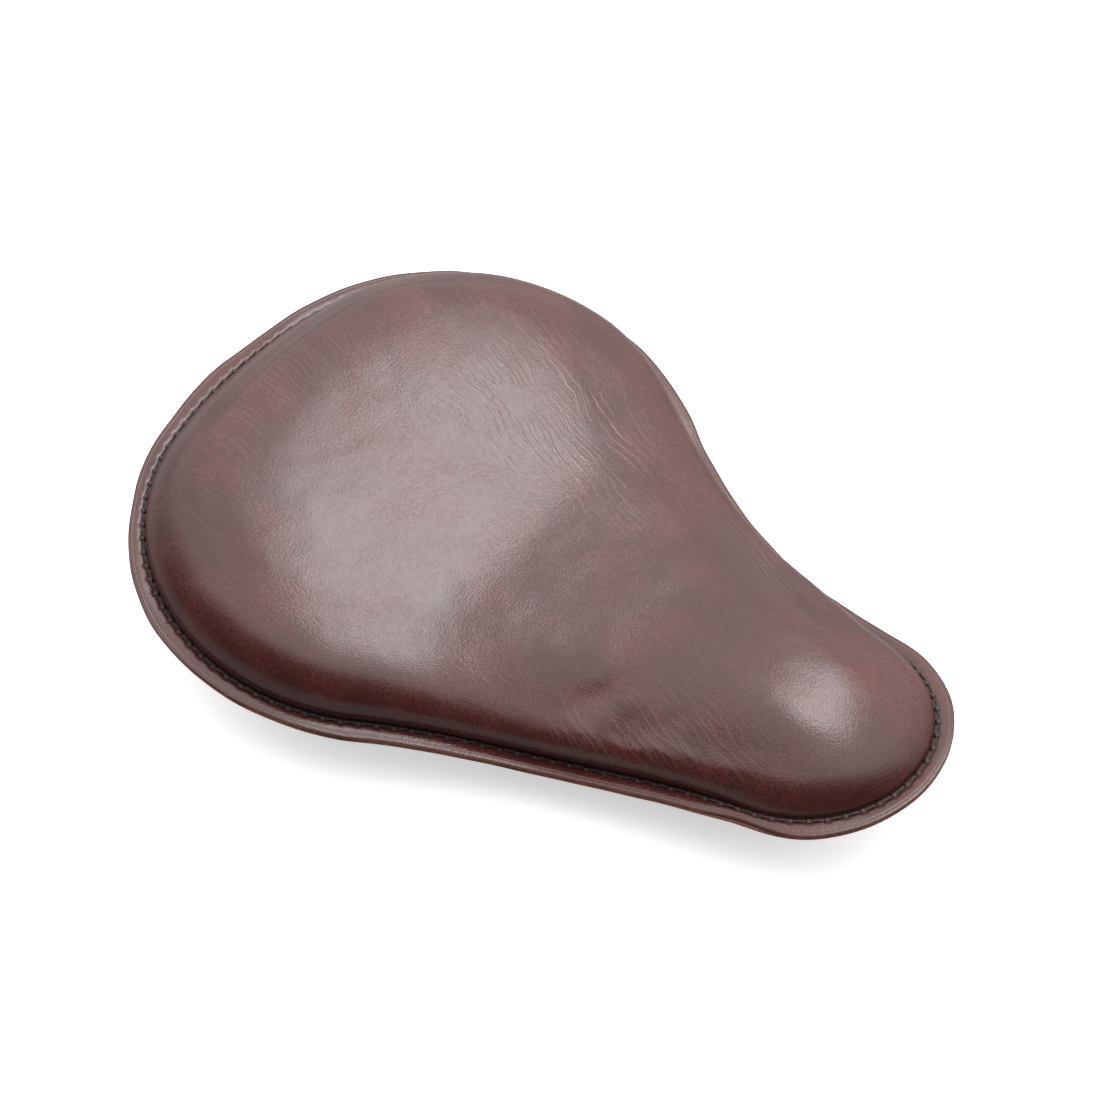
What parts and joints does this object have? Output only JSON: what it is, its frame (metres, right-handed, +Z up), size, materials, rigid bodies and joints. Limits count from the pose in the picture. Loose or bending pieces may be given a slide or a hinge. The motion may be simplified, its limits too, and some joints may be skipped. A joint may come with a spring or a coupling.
{
  "type": "motorcycle seat",
  "caption": "Solo motorcycle seat: brown leather cover stitched to a flat leather edge over foam on a steel pan, with a nose hinge and rear spring studs.",
  "frame": {"origin": "on the floor that the seat stands on, under the middle of its length and width", "axes": "+X towards the nose, +Y towards the rider's left, +Z up"},
  "size_m": [0.35, 0.254, 0.0823],
  "materials": {
    "cover_leather": "waxed pull-up, semi-gloss",
    "welt_leather": "smooth leather with raw cut edge",
    "seam_thread": "waxed black thread",
    "soft_foam": "open-cell foam",
    "firm_foam": "closed-cell foam",
    "black_paint": "satin black powder coat",
    "bracket_paint": "satin black powder coat",
    "zinc_steel": "zinc plated",
    "rivet_steel": "nickel plated",
    "eyelet_brass": "aged brass",
    "bush_nylon": "natural nylon"
  },
  "bodies": {
    "seat": {"top_cover": "cover_leather", "edge_welt": "welt_leather", "seam_thread_top": "seam_thread", "seam_thread_bottom": "seam_thread", "foam_top": "soft_foam", "foam_base": "firm_foam", "seat_pan": "black_paint", "pan_rivets": "rivet_steel", "breather_eyelets": "eyelet_brass", "spring_boss_left": "black_paint", "spring_boss_right": "black_paint", "spring_studs": "zinc_steel", "stud_washers": "zinc_steel", "stud_nuts": "zinc_steel", "nose_bracket": "black_paint", "pivot_bolt": "zinc_steel", "pivot_nut": "zinc_steel", "pivot_washers": "zinc_steel"},
    "frame_bracket": {"frame_bracket": "bracket_paint", "pivot_bush_left": "bush_nylon", "pivot_bush_right": "bush_nylon"}
  },
  "joints": [
    {"name": "nose_pivot", "type": "hinge", "parent": "seat", "child": "frame_bracket", "pos_m": [0.105, 0, 0.0145], "axis": [0, 1, 0], "range_deg": [-20, 20]}
  ]
}
